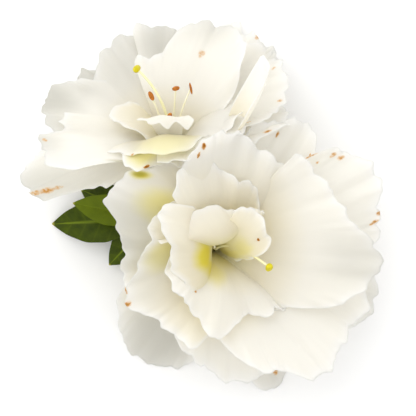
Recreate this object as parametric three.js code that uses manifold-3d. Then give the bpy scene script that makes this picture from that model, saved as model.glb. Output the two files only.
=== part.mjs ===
// A cut sprig of white double azalea, lying on its back: two open blooms, and the leaves at the shoot's tip.
// Millimetres, +Z up, with the origin on the surface it lies on, below the middle of its outline.
import * as THREE from 'three';
import { mergeVertices } from 'three/addons/utils/BufferGeometryUtils.js';
import Module from 'manifold-3d';

const wasm = await Module();
wasm.setup();

// Driving dimensions
const petalThickness = 0.8;
const leafThickness = 0.6;
const seatGap = 0.3;
const tubeRadius = 2.2; // the fused foot of a bloom's petals
const throatRadius = 10; // the tube is solid up to a shallow dish this wide
const throatHeight = 15;
const throatFloor = 9;
const stamenRing = 1.9; // how far the filaments start from the style
const styleRadius = 0.45;
const stigmaRadius = 1.2;
const filamentRadius = 0.35;
const antherRadius = 0.65;
const antherLength = 2.2;
const twigRadius = 1.6;
const budRadius = 2.4; // the swollen node where the leaves and stalks spring
const stalkRadius = 0.75;
const calyxRadius = 2.6;
const calyxDepth = 3;
const calyxTaper = 0.6; // the height in which it narrows to the stalk

// Places, before the whole sprig is moved over the origin
const shootTip = new THREE.Vector3(-15.5, -3, 8.5);
const cutEnd = new THREE.Vector3(20, -28, 1.9);

const whitePetal = { colour: 0xf7f5ec, roughness: 0.62 };
const yellowGreen = { colour: 0xc9cf3a, roughness: 0.5 };
const rustAnther = { colour: 0xa8622c, roughness: 0.7 };
const paleStalk = { colour: 0x8fa24a, roughness: 0.6 };
const brownBark = { colour: 0x6f5a3c, roughness: 0.85 };
const darkLeaf = { colour: 0x3f5a16, roughness: 0.42 };

// A petal is a fan of rays from the foot of its bloom. Azimuth is its place around the bloom's axis, in
// degrees. Its tip is `out` from the axis and `up` along it, `rise` is how far it follows the tube before
// it turns out, `pinch` leans it over the throat first, and `sway` bows it to the side. `spread` is half its
// opening angle, of which it has the share `claw` at its foot. `margin` gives its reach from one side to
// the other, as shares of its length, and `corner` is what its corners lose. `cup` rolls its sides up,
// and `ruffle` is the height of the waves at its margin. The `fused` share of it is inside the tube.
const petalForm = {
  rise: 17,
  pinch: 0,
  sway: 0,
  spread: 30,
  claw: 0.45,
  margin: [0.9, 0.97, 1, 0.97, 0.9],
  corner: 0.3,
  cup: 0.4,
  ruffle: 0.9,
  fused: 0.4,
};
const rootHalfWidth = 2.2;
const rootRing = 1.6; // how far from the axis a petal starts
const cupOffset = 6;
const waveDegrees = 13;
const phaseStep = 0.37; // each petal's waves start this much further on than the last one's
const openingPower = 0.7; // a petal opens faster near its foot
const cornerPower = 6; // corners are lost only at the very sides
const wavePower = 3; // waves stay near the margin
const petalRows = 5;
const petalColumns = 7;

const frontBloom = {
  name: 'front',
  foot: new THREE.Vector3(-1.5, -9.5, 14),
  tilt: 24,
  heading: -25,
  petals: [
    // The inner flower: a hood over the throat with a flap beside it, then the left, lower and upper petals
    {
      azimuth: 99, out: 13.5, up: 23.5, rise: 31, pinch: 2.5, spread: 24, cup: 0.6, ruffle: 0.6,
      margin: [0.62, 0.74, 0.87, 0.99, 0.98, 1.06, 1.11, 1.12, 1.08],
    },
    {
      azimuth: 36, out: 7.5, up: 26, rise: 20, pinch: 1, spread: 24, cup: 0.6, ruffle: 0.5,
      margin: [0.66, 0.66, 0.75, 1.05, 1.18, 1.15, 1],
    },
    {
      azimuth: 178, out: 18.5, up: 22, rise: 22, spread: 25, cup: 0.9, corner: 0.05,
      margin: [1.15, 1.13, 1.09, 0.98, 0.99, 0.94, 0.88, 0.82, 0.8],
    },
    {
      azimuth: -112, out: 19.5, up: 23.5, rise: 21, spread: 42,
      margin: [0.85, 0.87, 0.9, 0.91, 0.92, 0.96, 1.03, 1.04, 0.9, 0.87, 0.92, 0.96, 1.2],
    },
    {
      azimuth: 95, out: 25.5, up: 19, rise: 21, spread: 24, cup: 0.6, corner: 0.05,
      margin: [0.8, 0.86, 0.9, 0.89, 0.97, 1.02, 1.04, 1.04, 1],
    },
    // The outer flower: lower left, left, upper, far upper, upper right, right, lower right
    {
      azimuth: -169, out: 26.5, up: 16, rise: 19, spread: 44,
      margin: [0.85, 0.87, 0.9, 0.93, 0.91, 0.95, 1, 1.07, 1, 0.97, 0.98, 1.05, 1.1],
    },
    { azimuth: 169, out: 28, up: 10, spread: 40, margin: [1.2, 1.11, 1.07, 1.09, 0.99, 0.98, 1, 1.02, 1.05] },
    {
      azimuth: 76, out: 30, up: 19, spread: 29, cup: 0.6, corner: 0.05,
      margin: [1.05, 1, 0.98, 0.98, 1.01, 1.05, 1.06, 1.06, 1],
    },
    {
      azimuth: 62, out: 40, up: 15, rise: 14, spread: 15, corner: 0.1,
      margin: [1.03, 1.03, 1.03, 1.02, 0.99, 0.98, 0.96, 0.95, 0.9],
    },
    {
      azimuth: 23, out: 43.5, up: 21, rise: 14, spread: 21,
      margin: [1.2, 1.13, 1.05, 1.02, 1.02, 1.03, 1.04, 1.04, 1.03, 1.01, 1.01, 1.02, 1],
    },
    {
      azimuth: -6, out: 39, up: 32, spread: 40, corner: 0.1,
      margin: [0.62, 0.62, 0.64, 0.71, 0.88, 0.95, 1, 0.98, 0.92, 0.89, 0.88, 0.88, 0.93],
    },
    {
      azimuth: -51, out: 40, up: 26, spread: 28,
      margin: [0.86, 0.87, 0.9, 0.92, 0.95, 1.02, 1.02, 1.01, 1, 1.01, 1.05, 1.13, 1.2],
    },
    // The outermost petals, some of which droop to the surface: right, below, and lower left
    { azimuth: -21, out: 47.5, up: 19, rise: 12, spread: 20, fused: 0.25 },
    {
      azimuth: -87, out: 36, up: 10, rise: 15, spread: 28, fused: 0.25,
      margin: [0.91, 0.9, 0.92, 0.96, 1.02, 1.05, 1.06, 1.1, 1.1],
    },
    {
      azimuth: -61.5, out: 48, up: 3, rise: 9, spread: 10.5, cup: 0.2, corner: 0.1, fused: 0.12,
      margin: [0.95, 1, 1.01, 1, 0.98, 0.97, 0.96],
    },
    {
      azimuth: -113, out: 37, up: -9, rise: 9, cup: 0.2, fused: 0.12,
      margin: [1.05, 0.95, 0.96, 1, 1.02, 1.03, 1.03, 0.98, 0.95],
    },
  ],
  style: { tip: new THREE.Vector3(16, -15.5, 36), bend: 14 },
  stamens: [
    { tip: new THREE.Vector3(13, -8.5, 33), azimuth: 40 },
    { tip: new THREE.Vector3(-0.5, -7, 26.5), azimuth: 150 },
  ],
};

const rearBloom = {
  name: 'rear',
  foot: new THREE.Vector3(-9, 12, 13),
  tilt: 46,
  heading: 97,
  petals: [
    // The far side: right, left, then the three behind them that reach the surface
    {
      azimuth: 60, out: 26, up: 31, rise: 19,
      margin: [0.8, 0.87, 0.95, 1, 1.02, 1.02, 1, 0.99, 0.96, 0.86, 0.83, 0.87, 1.1],
    },
    {
      azimuth: 119, out: 32, up: 22, rise: 14, spread: 26, cup: -0.8, fused: 0.3,
      margin: [1.1, 1.03, 1.02, 1.02, 1.02, 0.99, 0.95, 0.93, 1],
    },
    {
      azimuth: 89, out: 35, up: 23.5, rise: 14, spread: 14, corner: 0.08, fused: 0.25,
      margin: [0.9, 0.92, 0.95, 0.97, 0.99, 1, 1.07],
    },
    { azimuth: 139, out: 32.5, up: 18.5, rise: 13, spread: 18, fused: 0.25 },
    {
      azimuth: 57, out: 42, up: 20.5, rise: 14, fused: 0.25,
      margin: [0.93, 0.94, 0.95, 0.955, 0.945, 0.96, 0.965, 1, 0.97, 0.96, 0.94, 0.92, 0.9],
    },
    // The left side, from the highest to the lowest
    {
      azimuth: 169, out: 34.5, up: 20, rise: 15, spread: 19, cup: 3.2, ruffle: 0.7, corner: 0.02,
      margin: [0.75, 0.79, 0.86, 0.95, 1, 1, 1, 0.98, 0.98, 0.98, 0.98, 0.98, 0.97],
    },
    {
      azimuth: -159, out: 35.5, up: 22.5, rise: 18, sway: 3.5, spread: 16, cup: 1, corner: 0.03, claw: 0.7,
      margin: [0.89, 0.91, 0.92, 0.94, 0.98, 1.01, 1, 1.01, 1.01, 1.02, 1.02, 1.01, 0.99],
    },
    {
      azimuth: -160, out: 41, up: 6.5, rise: 15, spread: 18, corner: 0.02,
      margin: [0.95, 0.965, 0.985, 1.01, 1.01, 1.01, 1.01, 0.99, 0.96, 0.91, 0.84, 0.8, 0.79],
    },
    // The small petals in the throat: left, a frill with three teeth, right, and one rolled into a gutter
    {
      azimuth: -156, out: 11.6, up: 26.3, rise: 18, spread: 22, cup: 0.8,
      margin: [0.6, 0.7, 0.78, 0.88, 1, 1.2, 1.32, 1.35, 1.3],
    },
    {
      azimuth: -94, out: 9, up: 21.5, rise: 28, pinch: 3, spread: 17, cup: 0.8, corner: 0.05,
      margin: [0.95, 1.04, 1, 0.93, 0.95, 1.06, 1.13, 1.06, 0.95, 0.94, 1.03, 1.12, 0.98],
    },
    { azimuth: -16, out: 18.5, up: 23.5, rise: 18, spread: 15, cup: 0.8 },
    {
      azimuth: 7.5, out: 27.7, up: 32, rise: 20, pinch: 21, sway: -9, spread: 11, cup: 9,
      margin: [0.8, 0.95, 1, 0.95, 0.8],
    },
    // The near side, inner and outer
    {
      azimuth: -89, out: 21, up: 23, rise: 20, spread: 34, cup: 0.3, corner: 0.05,
      margin: [1.27, 1.25, 1.03, 0.95, 0.99, 1.01, 1.01, 0.97, 0.91, 0.8, 0.7, 0.7, 0.72],
    },
    {
      azimuth: -85, out: 22.5, up: 18, spread: 42, cup: 0.6, corner: 0.05,
      margin: [1.35, 1.31, 1.18, 1.13, 1.01, 0.88, 0.83, 0.79, 0.77, 0.77, 0.77, 0.78, 0.81],
    },
    // The right side
    {
      azimuth: 16, out: 32.5, up: 19.5, spread: 26, cup: 0.5,
      margin: [0.93, 0.94, 0.96, 1, 1.02, 1.04, 1.06, 1.13, 1.25],
    },
    { azimuth: -1, out: 31.5, up: 15, rise: 16, margin: [0.8, 0.85, 0.9, 0.99, 1.01, 1, 1.01, 1, 1] },
  ],
  style: { tip: new THREE.Vector3(-19, 37, 30), bend: 16 },
  stamens: [
    { tip: new THREE.Vector3(-15.2, 30, 28), azimuth: 190 },
    { tip: new THREE.Vector3(-8.6, 32, 28), azimuth: 60 },
    { tip: new THREE.Vector3(-4.6, 32, 28), azimuth: 0 },
    { tip: new THREE.Vector3(-10.2, 24.5, 31), azimuth: -90 },
  ],
};

// A leaf runs from beside the shoot's tip to its own tip, arched by `arch` and folded up along its midrib.
const leafForm = { arch: 2, fold: 0.25 };
const leafFoot = 0.6; // half a leaf's width where it springs
const leafTip = 0.24; // and what is left of that at its tip
const leafSkew = 1.15; // above 1, a leaf is widest beyond its middle
const leafFullness = 0.9; // below 1, its outline is fuller than a half sine wave
const leafRows = 10;
const leafColumns = 4;
const leaves = [
  { tip: new THREE.Vector3(-45.1, -4.6, 0.6), width: 12, arch: 3 },
  { tip: new THREE.Vector3(-38.2, 1.4, 9), width: 8.5 },
  { tip: new THREE.Vector3(-36.4, 5.2, 4), width: 10 },
  { tip: new THREE.Vector3(-28.4, -16.4, 3), width: 9 },
];

const pistilBar = { sides: 5, steps: 6 };
const stamenBar = { sides: 5, steps: 4 };
const filamentRise = 6; // how far a filament goes up the tube before it turns to its tip
const twigBar = { sides: 10, steps: 8 };
const twigBow = new THREE.Vector3(1.5, 1.5, -0.8);
const stalkBar = { sides: 8, steps: 10 };
const stalkStart = new THREE.Vector3(2, 1, 1);
const stalkRise = 4; // how far below the calyx a stalk is already in line with the bloom
const tubeSides = 12;
const tubeWaist = { height: 0.45, widening: 1.5 }; // shares of the throat floor and the tube's radius
const calyxSides = 10;
const ballRings = 0.7; // a ball's rings for each of its sides

const upward = new THREE.Vector3(0, 0, 1);
const turningAxis = new THREE.Vector3(0, 1, 0); // the axis that lathed shapes and spheres are made around

// The solid inside a closed geometry
function solidOf(geometry) {
  geometry.deleteAttribute('normal');
  geometry.deleteAttribute('uv');
  const merged = mergeVertices(geometry, 1e-4);
  return new wasm.Manifold(new wasm.Mesh({
    numProp: 3,
    vertProperties: new Float32Array(merged.attributes.position.array),
    triVerts: new Uint32Array(merged.index.array),
  }));
}

// The largest of a solid's separate bodies
function mainBody(solid) {
  const bodies = solid.decompose();
  return bodies.reduce((best, body) => (body.volume() > best.volume() ? body : best));
}

function cutAll(solid, tools) {
  return mainBody(tools.reduce((left, tool) => left.subtract(tool), solid));
}

function joinAll(solids) {
  return solids.reduce((whole, next) => whole.add(next));
}

// A mesh of one solid
function meshOf(name, solid, look) {
  const { vertProperties, triVerts } = solid.getMesh();
  const geometry = new THREE.BufferGeometry();
  geometry.setAttribute('position', new THREE.BufferAttribute(new Float32Array(vertProperties), 3));
  geometry.setIndex(new THREE.BufferAttribute(new Uint32Array(triVerts), 1));
  geometry.computeVertexNormals();
  const material = new THREE.MeshStandardMaterial({ color: look.colour, roughness: look.roughness });
  const mesh = new THREE.Mesh(geometry, material);
  mesh.name = name;
  return mesh;
}

// A grid of points given a thickness, half to each side, and closed around its edge
function sheetGeometry(grid, thickness) {
  const rows = grid.length;
  const columns = grid[0].length;
  const near = (k, count) => THREE.MathUtils.clamp(k, 0, count - 1);
  const corner = (i, j) => grid[near(i, rows)][near(j, columns)];
  const positions = [];
  for (const side of [0.5, -0.5]) {
    for (let i = 0; i < rows; i += 1) {
      for (let j = 0; j < columns; j += 1) {
        const along = new THREE.Vector3().subVectors(corner(i + 1, j), corner(i - 1, j));
        const across = new THREE.Vector3().subVectors(corner(i, j + 1), corner(i, j - 1));
        const normal = new THREE.Vector3().crossVectors(along, across).normalize();
        positions.push(...grid[i][j].clone().addScaledVector(normal, side * thickness).toArray());
      }
    }
  }
  const under = rows * columns;
  const index = [];
  const quad = (a, b, c, d) => index.push(a, b, c, a, c, d);
  for (let i = 0; i < rows - 1; i += 1) {
    for (let j = 0; j < columns - 1; j += 1) {
      const a = i * columns + j;
      const b = a + columns;
      quad(a, b, b + 1, a + 1);
      quad(under + a, under + a + 1, under + b + 1, under + b);
    }
  }
  for (let j = 0; j < columns - 1; j += 1) {
    const far = (rows - 1) * columns + j;
    quad(j, j + 1, under + j + 1, under + j);
    quad(far + 1, far, under + far, under + far + 1);
  }
  for (let i = 0; i < rows - 1; i += 1) {
    const left = i * columns;
    const right = left + columns - 1;
    quad(left + columns, left, under + left, under + left + columns);
    quad(right, right + columns, under + right + columns, under + right);
  }
  const geometry = new THREE.BufferGeometry();
  geometry.setAttribute('position', new THREE.Float32BufferAttribute(positions, 3));
  geometry.setIndex(index);
  return geometry;
}

// A round bar along a curve
function barSolid(curve, radius, { sides, steps }) {
  const section = new THREE.Shape();
  for (let k = 0; k < sides; k += 1) {
    const angle = (2 * Math.PI * k) / sides;
    const place = [radius * Math.cos(angle), radius * Math.sin(angle)];
    if (k === 0) section.moveTo(...place);
    else section.lineTo(...place);
  }
  return solidOf(new THREE.ExtrudeGeometry(section, { steps, extrudePath: curve, bevelEnabled: false }));
}

// A ball, or an egg shape `stretch` times as long along an axis
function ballSolid(centre, radius, sides, stretch = 1, axis = upward) {
  const ball = new THREE.SphereGeometry(radius, sides, Math.round(sides * ballRings));
  ball.scale(1, stretch, 1);
  ball.applyQuaternion(new THREE.Quaternion().setFromUnitVectors(turningAxis, axis));
  ball.translate(centre.x, centre.y, centre.z);
  return solidOf(ball);
}

// A bloom's axis, and the two directions across it that its azimuths are counted from
function bloomFrame(bloom) {
  const tilt = THREE.MathUtils.degToRad(bloom.tilt);
  const heading = THREE.MathUtils.degToRad(bloom.heading);
  const axis = new THREE.Vector3(
    Math.sin(tilt) * Math.cos(heading),
    Math.sin(tilt) * Math.sin(heading),
    Math.cos(tilt),
  );
  const east = new THREE.Vector3(1, 0, 0).addScaledVector(axis, -axis.x).normalize();
  const north = new THREE.Vector3().crossVectors(axis, east);
  return { axis, east, north };
}

// A smooth run through evenly spaced values, for t from -1 to 1
function smoothRun(values, t) {
  const last = values.length - 1;
  const x = ((t + 1) / 2) * last;
  const i = Math.min(Math.floor(x), last - 1);
  const f = x - i;
  const at = (k) => values[THREE.MathUtils.clamp(k, 0, last)];
  const [p0, p1, p2, p3] = [at(i - 1), at(i), at(i + 1), at(i + 2)];
  return 0.5 * (2 * p1 + (p2 - p0) * f + (2 * p0 - 5 * p1 + 4 * p2 - p3) * f * f
    + (3 * p1 - p0 - 3 * p2 + p3) * f * f * f);
}

// The petal's surface: u runs from the foot to the margin, v from one side (-1) to the other (1)
function petalPoint(bloom, form, u, v) {
  const { axis, east, north } = bloomFrame(bloom);
  const azimuth = THREE.MathUtils.degToRad(form.azimuth);
  const outward = east.clone().multiplyScalar(Math.cos(azimuth)).addScaledVector(north, Math.sin(azimuth));
  const sideways = new THREE.Vector3().crossVectors(axis, outward);
  const chord = Math.hypot(form.out, form.up);
  const legs = Math.hypot(form.pinch, form.rise) + Math.hypot(form.out - form.pinch, form.up - form.rise);
  const length = (chord + legs) / 2;
  const reach = length * smoothRun(form.margin, v) * (1 - form.corner * Math.abs(v) ** cornerPower);
  const opening = form.claw + (1 - form.claw) * u ** openingPower;
  const fan = v * THREE.MathUtils.degToRad(form.spread) * opening;
  const along = u * reach * Math.cos(fan);
  const across = u * reach * Math.sin(fan) + rootHalfWidth * v * (1 - u);
  const bend = form.cup / (cupOffset + u * reach);
  const waves = form.spread / waveDegrees;
  const wave = form.ruffle * u ** wavePower * Math.sin(Math.PI * (waves * v + 2 * form.phase));
  const lift = (1 - Math.cos(bend * across)) / bend + wave;
  const t = along / length;
  const outAt = rootRing * (1 - t) ** 2 + 2 * t * (1 - t) * form.pinch + t * t * form.out;
  const upAt = 2 * t * (1 - t) * form.rise + t * t * form.up;
  const lean = Math.atan2(
    (1 - 2 * t) * form.pinch + t * form.out,
    (1 - 2 * t) * form.rise + t * form.up,
  );
  return bloom.foot.clone()
    .addScaledVector(outward, outAt - Math.cos(lean) * lift)
    .addScaledVector(axis, upAt + Math.sin(lean) * lift)
    .addScaledVector(sideways, Math.sin(bend * across) / bend + form.sway * 4 * t * (1 - t));
}

function petalSolid(bloom, k, grow) {
  const form = { ...petalForm, phase: (phaseStep * k) % 1, ...bloom.petals[k] };
  const grid = [];
  for (let i = 0; i <= petalRows; i += 1) {
    const u = form.fused + ((1 - form.fused) * i) / petalRows;
    const row = [];
    for (let j = 0; j <= petalColumns; j += 1) {
      row.push(petalPoint(bloom, form, u, (2 * j) / petalColumns - 1));
    }
    grid.push(row);
  }
  return solidOf(sheetGeometry(grid, petalThickness + 2 * grow));
}

// A body turned on the bloom's axis, from points of radius and height above its foot
function turnedSolid(bloom, profile, sides) {
  const points = profile.map(([radius, height]) => new THREE.Vector2(radius, height));
  const body = new THREE.LatheGeometry(points, sides);
  const { axis } = bloomFrame(bloom);
  body.applyQuaternion(new THREE.Quaternion().setFromUnitVectors(turningAxis, axis));
  body.translate(bloom.foot.x, bloom.foot.y, bloom.foot.z);
  return solidOf(body);
}

function coreSolid(bloom) {
  const profile = [
    [0, 0],
    [tubeRadius, 0],
    [tubeRadius * tubeWaist.widening, throatFloor * tubeWaist.height],
    [throatRadius / 2, throatFloor],
    [throatRadius, throatHeight],
    [0, throatFloor],
  ];
  return turnedSolid(bloom, profile, tubeSides);
}

// Petals and tube as one solid
function bloomSolid(bloom, grow = 0) {
  const petals = bloom.petals.map((_, k) => petalSolid(bloom, k, grow));
  return joinAll([coreSolid(bloom), ...petals]);
}

// The line of a style or filament: it leaves the throat's floor `ring` from the axis, and turns to its tip
function throatCurve(bloom, tip, ring, azimuth, bend) {
  const { axis, east, north } = bloomFrame(bloom);
  const dish = (throatHeight - throatFloor) / throatRadius;
  const start = bloom.foot.clone()
    .addScaledVector(axis, throatFloor + dish * ring + 2 * seatGap)
    .addScaledVector(east, ring * Math.cos(azimuth))
    .addScaledVector(north, ring * Math.sin(azimuth));
  return new THREE.QuadraticBezierCurve3(start, start.clone().addScaledVector(axis, bend), tip);
}

function pistilSolid(bloom, grow = 0) {
  const curve = throatCurve(bloom, bloom.style.tip, 0, 0, bloom.style.bend);
  const style = barSolid(curve, styleRadius + grow, pistilBar);
  return style.add(ballSolid(bloom.style.tip, stigmaRadius + grow, 8));
}

function stamenSolid(bloom, stamen, grow = 0) {
  const azimuth = THREE.MathUtils.degToRad(stamen.azimuth);
  const curve = throatCurve(bloom, stamen.tip, stamenRing, azimuth, filamentRise);
  const filament = barSolid(curve, filamentRadius + grow, stamenBar);
  const stretch = antherLength / 2 / antherRadius;
  return filament.add(ballSolid(stamen.tip, antherRadius + grow, 6, stretch, curve.getTangent(1)));
}

function twigSolid(grow = 0) {
  const middle = cutEnd.clone().lerp(shootTip, 0.5).add(twigBow);
  const curve = new THREE.CatmullRomCurve3([cutEnd, middle, shootTip]);
  return barSolid(curve, twigRadius + grow, twigBar).add(ballSolid(shootTip, budRadius + grow, 10));
}

// A flower stalk from the shoot's tip, ending in the cup of sepals under its bloom
function stalkSolid(bloom, grow = 0) {
  const { axis } = bloomFrame(bloom);
  const cupFoot = bloom.foot.clone().addScaledVector(axis, -calyxDepth - seatGap);
  const below = cupFoot.clone().addScaledVector(axis, -stalkRise);
  const leaving = shootTip.clone().add(stalkStart);
  const curve = new THREE.CubicBezierCurve3(shootTip, leaving, below, cupFoot);
  const stalk = barSolid(curve, stalkRadius + grow, stalkBar);
  const profile = [
    [0, -seatGap - calyxDepth - calyxTaper - grow],
    [stalkRadius + calyxTaper / 2 + grow, -seatGap - calyxDepth - grow],
    [calyxRadius + grow, -seatGap + grow],
    [0, -seatGap + grow],
  ];
  return stalk.add(turnedSolid(bloom, profile, calyxSides));
}

// A blade from beside the shoot's tip: lens-shaped, folded up a little along its midrib, and arched
function leafSolid(leaf, grow = 0) {
  const { tip, width, arch, fold } = { ...leafForm, ...leaf };
  const run = new THREE.Vector3().subVectors(tip, shootTip);
  const sideways = new THREE.Vector3(-run.y, run.x, 0).normalize();
  const grid = [];
  for (let i = 0; i <= leafRows; i += 1) {
    const t = i / leafRows;
    const widening = Math.sin(Math.PI * t ** leafSkew) ** leafFullness;
    const halfWidth = THREE.MathUtils.lerp(leafFoot, leafTip, t) + ((width - leafFoot) / 2) * widening;
    const row = [];
    for (let j = 0; j <= leafColumns; j += 1) {
      const s = (2 * j) / leafColumns - 1;
      const point = shootTip.clone().addScaledVector(run, t).addScaledVector(sideways, s * halfWidth);
      point.z += arch * 4 * t * (1 - t) + fold * Math.abs(s) * halfWidth;
      row.push(point);
    }
    grid.push(row);
  }
  return solidOf(sheetGeometry(grid, leafThickness + 2 * grow));
}

// Each piece keeps the seat gap to the ones that were placed before it
const blooms = [frontBloom, rearBloom];
const placed = [{ name: 'twig', solid: twigSolid(), room: twigSolid(seatGap), look: brownBark }];

function place(name, solid, room, look) {
  const cut = cutAll(solid, placed.map((piece) => piece.room));
  placed.push({ name, solid: cut, room, look });
}

for (const bloom of blooms) {
  place(`${bloom.name}_stalk`, stalkSolid(bloom), stalkSolid(bloom, seatGap), paleStalk);
}
leaves.forEach((leaf, k) => place(`leaf_${k + 1}`, leafSolid(leaf), leafSolid(leaf, seatGap), darkLeaf));
for (const bloom of blooms) {
  place(`${bloom.name}_pistil`, pistilSolid(bloom), pistilSolid(bloom, seatGap), yellowGreen);
  bloom.stamens.forEach((stamen, k) => {
    const room = stamenSolid(bloom, stamen, seatGap);
    place(`${bloom.name}_stamen_${k + 1}`, stamenSolid(bloom, stamen), room, rustAnther);
  });
}
place('rear_bloom', bloomSolid(rearBloom), bloomSolid(rearBloom, seatGap), whitePetal);
place('front_bloom', bloomSolid(frontBloom), bloomSolid(frontBloom, seatGap), whitePetal);

const sprig = new THREE.Group();
for (const { name, solid, look } of placed) sprig.add(meshOf(name, solid, look));

// The sprig is moved so that it rests on the surface over the origin
const box = new THREE.Box3().setFromObject(sprig);
const middle = box.getCenter(new THREE.Vector3());
for (const mesh of sprig.children) mesh.position.set(-middle.x, -middle.y, -box.min.z);

export default sprig;
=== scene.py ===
import math

import bpy
import numpy as np
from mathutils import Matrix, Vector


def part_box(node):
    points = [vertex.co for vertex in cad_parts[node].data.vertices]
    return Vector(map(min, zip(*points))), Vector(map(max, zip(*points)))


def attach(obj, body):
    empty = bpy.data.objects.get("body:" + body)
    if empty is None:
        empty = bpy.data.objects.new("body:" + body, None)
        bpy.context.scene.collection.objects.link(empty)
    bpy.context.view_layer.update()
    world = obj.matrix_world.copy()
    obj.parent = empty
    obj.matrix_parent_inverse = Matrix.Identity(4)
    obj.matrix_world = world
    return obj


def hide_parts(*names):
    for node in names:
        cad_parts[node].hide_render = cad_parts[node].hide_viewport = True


# A cut sprig of white double azalea on a pale floor. Shapes are worked out in millimetres, in the sprig's own
# layout, and moved into the frame in metres when their mesh is made.
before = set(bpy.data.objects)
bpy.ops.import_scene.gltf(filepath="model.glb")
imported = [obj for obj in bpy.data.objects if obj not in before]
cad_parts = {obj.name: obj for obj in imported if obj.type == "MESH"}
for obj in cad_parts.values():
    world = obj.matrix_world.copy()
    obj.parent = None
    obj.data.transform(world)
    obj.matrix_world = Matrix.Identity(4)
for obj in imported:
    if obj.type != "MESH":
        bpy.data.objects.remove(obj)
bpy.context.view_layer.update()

metresPerMm = 0.001

# The layout's offset: the front stigma is a ball of known place and size, so its box gives the shift.
frontStigma = {"centre": (16, -15.5, 36), "radius": 1.2}
stigmaLow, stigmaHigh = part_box("front_pistil")
stigmaCorner = np.array([stigmaHigh.x, stigmaLow.y, stigmaHigh.z]) / metresPerMm
layoutShift = stigmaCorner - np.array(frontStigma["centre"]) - frontStigma["radius"] * np.array([1, -1, 1])

restMm, settleMm = 0.3, 1.0  # lowest place of a petal that lies on the floor, and how softly it comes to lie
shootTip = np.array([-15.5, -3, 8.5])  # where the leaves and both flower stalks spring
cutEnd = np.array([20, -28, 1.9])

colourA, colourB, mixed = 6, 7, 2  # a Mix node's sockets: its two colours, and the colour that comes out


# An sRGB hex colour as linear red, green, blue and alpha
def linearColour(hexCode):
    channels = np.array([int(hexCode[k:k + 2], 16) for k in (1, 3, 5)]) / 255
    linear = np.where(channels <= 0.04045, channels / 12.92, ((channels + 0.055) / 1.055) ** 2.4)
    return (*(float(c) for c in linear), 1.0)


# A texture's scale for a pattern of this size: how many of it go into a metre
def perMetre(sizeMm):
    return 1 / (sizeMm * metresPerMm)


# A colour ramp's stops, from pairs of place and hex colour
def setStops(ramp, stops):
    while len(ramp.elements) > 1:
        ramp.elements.remove(ramp.elements[-1])
    ramp.elements[0].position, ramp.elements[0].color = stops[0][0], linearColour(stops[0][1])
    for place, colour in stops[1:]:
        ramp.elements.new(place).color = linearColour(colour)


# Adds one node, named by its type without ShaderNode: settings are properties, unlinked inputs or a ramp's
# stops, and links give an input its source.
def addNode(tree, kind, settings=None, links=None):
    node = tree.nodes.new(f"ShaderNode{kind}")
    for name, value in (settings or {}).items():
        if name == "stops":
            setStops(node.color_ramp, value)
        elif isinstance(name, str) and hasattr(node, name):
            setattr(node, name, value)
        else:
            node.inputs[name].default_value = value
    for name, source in (links or {}).items():
        tree.links.new(source, node.inputs[name])
    return node


# A material with an empty node tree
def newMaterial(name):
    material = bpy.data.materials.new(name)
    material.use_nodes = True
    material.node_tree.nodes.clear()
    return material, material.node_tree


# Puts one or more parts, each (points, faces, uv, values), into one mesh object. Points are in millimetres of
# the layout, uv is one pair per point, and values holds the point attributes by name.
def makePiece(name, parts, material, nodes=()):
    counts = np.cumsum([0] + [len(part["points"]) for part in parts])
    points = (np.concatenate([part["points"] for part in parts]) + layoutShift) * metresPerMm
    corners, sizes = [], []
    for part, start in zip(parts, counts):
        for block in part["faces"]:
            corners.append((block + start).ravel())
            sizes.append(np.full(len(block), block.shape[1]))
    corners, sizes = np.concatenate(corners), np.concatenate(sizes)
    mesh = bpy.data.meshes.new(name)
    mesh.vertices.add(len(points))
    mesh.vertices.foreach_set("co", points.astype(np.float32).ravel())
    mesh.loops.add(len(corners))
    mesh.loops.foreach_set("vertex_index", corners.astype(np.int32))
    mesh.polygons.add(len(sizes))
    starts = np.concatenate([[0], np.cumsum(sizes)[:-1]])
    mesh.polygons.foreach_set("loop_start", starts.astype(np.int32))
    mesh.polygons.foreach_set("use_smooth", np.ones(len(sizes), bool))
    mesh.update(calc_edges=True)
    uv = np.concatenate([part["uv"] for part in parts])[corners]
    mesh.uv_layers.new(name="surface").data.foreach_set("uv", uv.astype(np.float32).ravel())
    for key in parts[0].get("values", {}):
        values = np.concatenate([part["values"][key] for part in parts])
        mesh.attributes.new(key, "FLOAT", "POINT").data.foreach_set("value", values.astype(np.float32))
    mesh.materials.append(material)
    mesh.validate()
    piece = bpy.data.objects.new(name, mesh)
    bpy.context.scene.collection.objects.link(piece)
    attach(piece, "root")
    if nodes:
        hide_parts(*nodes)
    return piece


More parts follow.
